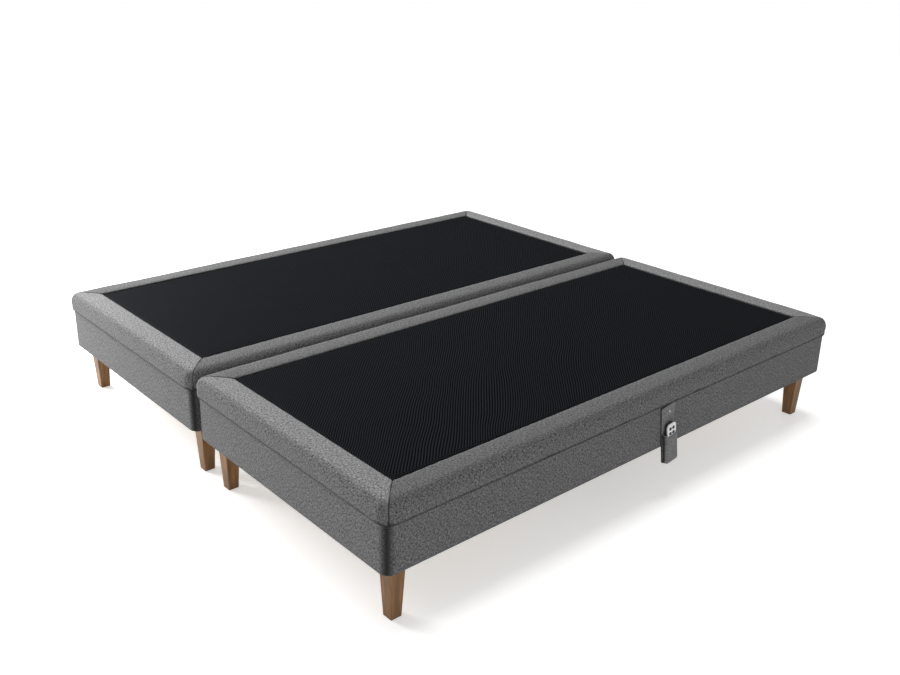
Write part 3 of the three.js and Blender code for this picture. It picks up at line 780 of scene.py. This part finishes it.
def soft_shell(name, columns, rows, place, thickness, size, material):
    """A closed sheet with rounded edges. place(a, b) gives its middle surface, with a and b from 0 to 1."""
    step = 1e-3
    wide, high = len(columns), len(rows)
    layers = ([], [])
    for i, b in enumerate(rows):
        for j, a in enumerate(columns):
            at = Vector(place(a, b))
            across = Vector(place(min(a + step, 1), b)) - Vector(place(max(a - step, 0), b))
            down = Vector(place(a, min(b + step, 1))) - Vector(place(a, max(b - step, 0)))
            normal = down.cross(across).normalized()
            edge = min(i, j, high - 1 - i, wide - 1 - j)
            half = thickness / 2 * (0.35, 0.8, 1.0)[min(edge, 2)]
            layers[0].append(at + normal * half)
            layers[1].append(at - normal * half)
    vertices = [tuple(v) for layer in layers for v in layer]
    back = wide * high
    faces, uvs = [], []

    def quad(a, b, c, d):
        faces.append((a, b, c, d))
        for n in (a, b, c, d):
            i, j = divmod(n % back, wide)
            uvs.append((columns[j] * size[0], rows[i] * size[1]))

    for i in range(high - 1):
        for j in range(wide - 1):
            n = i * wide + j
            quad(n, n + 1, n + 1 + wide, n + wide)
            quad(back + n, back + n + wide, back + n + 1 + wide, back + n + 1)
    for j in range(wide - 1):
        low = (high - 1) * wide + j
        quad(j, back + j, back + j + 1, j + 1)
        quad(low, low + 1, back + low + 1, back + low)
    for i in range(high - 1):
        n, m = i * wide, i * wide + wide - 1
        quad(n, n + wide, back + n + wide, back + n)
        quad(m, back + m, back + m + wide, m + wide)
    return finish_mesh(mesh_object(name, vertices, faces, material, uvs), 75)


def spread(count, edge):
    """Positions from 0 to 1 with two close ones at each end."""
    inner = [edge + (1 - 2 * edge) * i / count for i in range(count + 1)]
    return [0.0, edge * 0.4, *inner, 1 - edge * 0.4, 1.0]


def stitch_row(points, length, radius, material, name):
    """A row of short thread stitches, each a slim closed capsule along its own bit of the line."""
    vertices, faces = [], []
    for at, along in points:
        along = Vector(along).normalized()
        side = along.cross(Vector((1, 0, 0))).normalized()
        up = along.cross(side)
        start = len(vertices)
        ends = ((-0.5, 0.0), (-0.38, 0.8), (0.0, 1.0), (0.38, 0.8), (0.5, 0.0))
        for share, wide in ends:
            for k in range(6):
                a = math.pi * k / 3
                off = (side * math.cos(a) + up * math.sin(a)) * radius * max(wide, 0.05)
                vertices.append(tuple(Vector(at) + along * length * share + off))
        for ring in range(4):
            for k in range(6):
                n, m = start + ring * 6 + k, start + ring * 6 + (k + 1) % 6
                faces.append((n, m, m + 6, n + 6))
        faces.append(tuple(start + k for k in reversed(range(6))))
        faces.append(tuple(start + 24 + k for k in range(6)))
    return finish_mesh(mesh_object(name, vertices, faces, material), 80)


def thin_roll(name, line, radius, material):
    """A closed rolled hem along a line of points."""
    vertices, faces, uvs = [], [], []
    count, last = 8, len(line) - 1
    for i, at in enumerate(line):
        along = (line[min(i + 1, last)] - line[max(i - 1, 0)]).normalized()
        side = along.cross(Vector((1, 0, 0))).normalized()
        up = side.cross(along)
        size = radius * (0.3 if i in (0, last) else 1.0)
        for k in range(count):
            a = math.tau * k / count
            vertices.append(tuple(at + (side * math.cos(a) + up * math.sin(a)) * size))
    for i in range(last):
        for k in range(count):
            m = (k + 1) % count
            faces.append((i * count + k, i * count + m, (i + 1) * count + m, (i + 1) * count + k))
            uvs += [(i * 0.002, n * 0.001) for n in (k, m, m, k)]
    faces += [tuple(reversed(range(count))), tuple(last * count + k for k in range(count))]
    uvs += [(0, 0)] * (2 * count)
    return finish_mesh(mesh_object(name, vertices, faces, material, uvs), 80)


def dome(name, at, radius, height, material):
    """A small press stud, its axis along X."""
    outline = ((1.0, 0.0), (1.0, 0.35), (0.9, 0.62), (0.62, 0.86), (0.3, 0.97), (0.0, 1.0))
    vertices, faces = [], []
    for share, rise in outline[:-1]:
        for k in range(20):
            a = math.tau * k / 20
            vertices.append((at[0] + height * rise, at[1] + radius * share * math.cos(a),
                             at[2] + radius * share * math.sin(a)))
    for ring in range(len(outline) - 2):
        for k in range(20):
            n, m = ring * 20 + k, ring * 20 + (k + 1) % 20
            faces.append((n, m, m + 20, n + 20))
    top = len(vertices)
    vertices.append((at[0] + height, at[1], at[2]))
    faces += [(top - 20 + k, top - 20 + (k + 1) % 20, top) for k in range(20)]
    faces.append(tuple(reversed(range(20))))
    return finish_mesh(mesh_object(name, vertices, faces, material), 40)


def make_pouch(finishes):
    """A cloth strap from under the platform with a pocket sewn to its lower end, hanging a little askew."""
    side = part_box("right_box_cover")[1].x
    fabric, thread = finishes["pouch_fabric"], finishes["thread"]
    y0, top, bottom = POUCH_Y, POUCH_TOP, POUCH_BOTTOM
    deep = POCKET_FRONT - POCKET_OUT - POCKET_THICKNESS / 2

    def half_width(z, full):
        rise = min(POUCH_CORNER, z - bottom)
        return full - POUCH_CORNER + math.sqrt(max(0.0, POUCH_CORNER ** 2 - (POUCH_CORNER - rise) ** 2))

    def strap(a, b):
        z = STRAP_TOP + (bottom - STRAP_TOP) * b
        y = y0 + (2 * a - 1) * half_width(z, STRAP_HALF)
        sway = 0.0005 * math.sin(b * 7 + 1) + 0.0003 * math.sin(a * 5 + b * 9)
        return side + STRAP_OUT + sway, y, z

    def pocket(a, b):
        share = 2 * a - 1
        high = POCKET_MOUTH - POCKET_DIP * (1 - smoothstep(0.55, 0.92, abs(share)))
        z = high + (bottom + 0.0008 - high) * b
        y = y0 + share * half_width(z, POCKET_HALF)
        full = 1 - smoothstep(0.78, 1.0, abs(share)) ** 0.8
        floor = smoothstep(-0.0005, 0.0042, z - bottom)
        slack = 0.0005 * math.sin(b * 8 + 2 * share) * full
        return side + POCKET_OUT + deep * full * floor + slack, y, z

    def flap(a, b):
        z = STRAP_TOP - 0.0004 + (FLAP_BOTTOM - STRAP_TOP) * b
        y = y0 + (2 * a - 1) * (STRAP_HALF - 0.0004)
        return side + FLAP_OUT + 0.0003 * math.sin(b * 7 + 1), y, z

    strap_size = (2 * STRAP_HALF, STRAP_TOP - bottom)
    flap_size = (2 * STRAP_HALF, STRAP_TOP - FLAP_BOTTOM)
    shells = (
        ("pouch_strap", spread(14, 0.05), spread(34, 0.015), strap, STRAP_THICKNESS, strap_size),
        ("pouch_pocket", spread(34, 0.03), spread(26, 0.03), pocket, POCKET_THICKNESS,
         (POCKET_AROUND, POCKET_MOUTH - bottom)),
        ("pouch_flap", spread(14, 0.05), spread(6, 0.06), flap, FLAP_THICKNESS, flap_size),
    )
    pieces = {name: soft_shell(name, *shape, fabric) for name, *shape in shells}
    lines = []
    for z in (FLAP_BOTTOM + 0.0022, STRAP_TOP - 0.0105):
        lines += [((side + 0.0052, y0 - 0.030 + STITCH_PITCH * i, z), (0, 1, 0)) for i in range(16)]
    for edge in (-1, 1):
        for i in range(22):
            z = bottom + 0.012 + STITCH_PITCH * i
            at = Vector(pocket(0.5 + edge * 0.488, 1 - (z - bottom) / (POCKET_MOUTH - bottom)))
            lines.append(((at.x + 0.0012, at.y, at.z), (0, 0, 1)))
    pieces["pouch_stitches"] = stitch_row(lines, STITCH_LENGTH, THREAD_RADIUS, thread, "pouch_stitches")
    stud = (side + 0.0050, y0 + 0.005, FLAP_BOTTOM + 0.0085)
    pieces["pouch_snap"] = dome("pouch_snap", stud, STUD_RADIUS, STUD_HEIGHT, finishes["bright_steel"])
    rim = [Vector(pocket(0.02 + 0.96 * i / 40, 0.0)) for i in range(41)]
    pieces["pouch_hem"] = thin_roll("pouch_hem", rim, HEM_RADIUS, fabric)

    # Painted shade on the pocket's side walls, and a painted shadow line along each of the strap's edges.
    def pocket_shade(point):
        return 0.96 * smoothstep(0.0268, 0.0292, abs(point.y - y0)) if point.x < side + 0.0165 else 0.0

    def strap_shade(point):
        return 0.9 * smoothstep(0.0308, 0.0322, abs(point.y - y0))

    add_painted_shade(pieces["pouch_pocket"], pocket_shade)
    add_painted_shade(pieces["pouch_strap"], strap_shade)
    # Each pouch piece is lightened by its given amount, through the same attribute as the border's painted
    # sheen.
    sheen_and_tone_levels = {"pouch_strap": 0.5, "pouch_pocket": 0.6, "pouch_flap": 0.6, "pouch_hem": 1.0}
    for name, light in sheen_and_tone_levels.items():
        store(pieces[name], "painted_sheen_and_tone", lambda _: light)
    hinge = Vector((0, y0, top))
    tilt = Matrix.Translation(hinge) @ Matrix.Rotation(POUCH_TILT, 4, "X") @ Matrix.Translation(-hinge)
    for piece in pieces.values():
        piece.data.transform(tilt)
        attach(piece, "base")
    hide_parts("handset_pouch")


# ---------------------------------------------------------------- scene

def dress_cad_nodes(finishes):
    """Gives each CAD node the look of its material slot."""
    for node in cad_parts.values():
        slot = node.data.materials[0].name.split(".")[0]
        node.data.materials[0] = finishes[slot]


def make_floor():
    """A pale floor that glows a little, so that its far parts stay as white as the backdrop."""
    s = Surface("floor_look", 0.3, Specular_IOR_Level=0.3, Emission_Color=(1, 1, 1, 1),
                Emission_Strength=FLOOR_GLOW)
    cloud = s.noise(s.coordinates((1.5, 1.5, 1.5)), detail=2)
    s.colour(s.ramp(cloud, [(0.3, grey(0.90)), (0.7, grey(0.92))]))
    corners = [(x * FLOOR_HALF, y * FLOOR_HALF, 0) for x, y in ((-1, -1), (1, -1), (1, 1), (-1, 1))]
    floor = mesh_object("floor", corners, [(0, 1, 2, 3)], s.material)


def aim(lamp, at, target):
    lamp.location = at
    lamp.rotation_euler = (Vector(target) - Vector(at)).to_track_quat("-Z", "Y").to_euler()
    bpy.context.scene.collection.objects.link(lamp)


def area_light(name, at, target, size, power):
    data = bpy.data.lights.new(name, "AREA")
    data.shape = "RECTANGLE"
    data.size, data.size_y = size
    data.energy = power
    aim(bpy.data.objects.new(name, data), at, target)


def make_light():
    """A white studio: even light from all round, a soft overhead lamp and a panel on each side."""
    world = bpy.data.worlds.new("studio")
    world.use_nodes = True
    tree = world.node_tree
    ambient = tree.nodes["Background"]
    ambient.inputs["Color"].default_value = (1, 1, 1, 1)
    ambient.inputs["Strength"].default_value = AMBIENT
    backdrop = tree.nodes.new("ShaderNodeBackground")
    backdrop.inputs["Color"].default_value = (1, 1, 1, 1)
    backdrop.inputs["Strength"].default_value = 1.0
    seen = tree.nodes.new("ShaderNodeLightPath")
    mix = tree.nodes.new("ShaderNodeMixShader")
    tree.links.new(seen.outputs["Is Camera Ray"], mix.inputs["Fac"])
    tree.links.new(ambient.outputs["Background"], mix.inputs[1])
    tree.links.new(backdrop.outputs["Background"], mix.inputs[2])
    tree.links.new(mix.outputs["Shader"], tree.nodes["World Output"].inputs["Surface"])
    bpy.context.scene.world = world
    bpy.context.scene.view_settings.view_transform = "Standard"
    data = bpy.data.lights.new("overhead", "SUN")
    data.energy = OVERHEAD
    data.angle = OVERHEAD_WIDTH
    aim(bpy.data.objects.new("overhead", data), OVERHEAD_AT, (0, 0, 0))
    for panel in PANELS:
        area_light(*panel)


def make_camera():
    """The viewing angle: from the foot's right corner, a little above the bed."""
    data = bpy.data.cameras.new("camera")
    data.lens = LENS
    data.shift_x, data.shift_y = LENS_SHIFT
    camera = bpy.data.objects.new("camera", data)
    turn = Matrix((Vector(CAMERA_RIGHT), -Vector(CAMERA_DOWN), -Vector(CAMERA_FORWARD))).transposed()
    camera.matrix_world = Matrix.Translation(CAMERA_AT) @ turn.to_4x4()
    bpy.context.scene.collection.objects.link(camera)
    bpy.context.scene.camera = camera


make_camera()
make_light()
make_floor()
looks = make_finishes()
dress_cad_nodes(looks)
for number, side in enumerate(SIDES):
    make_platform(side, looks, 10 + 7 * number)
    make_box_cover(side, looks, 3 + 5 * number)
make_pouch(looks)
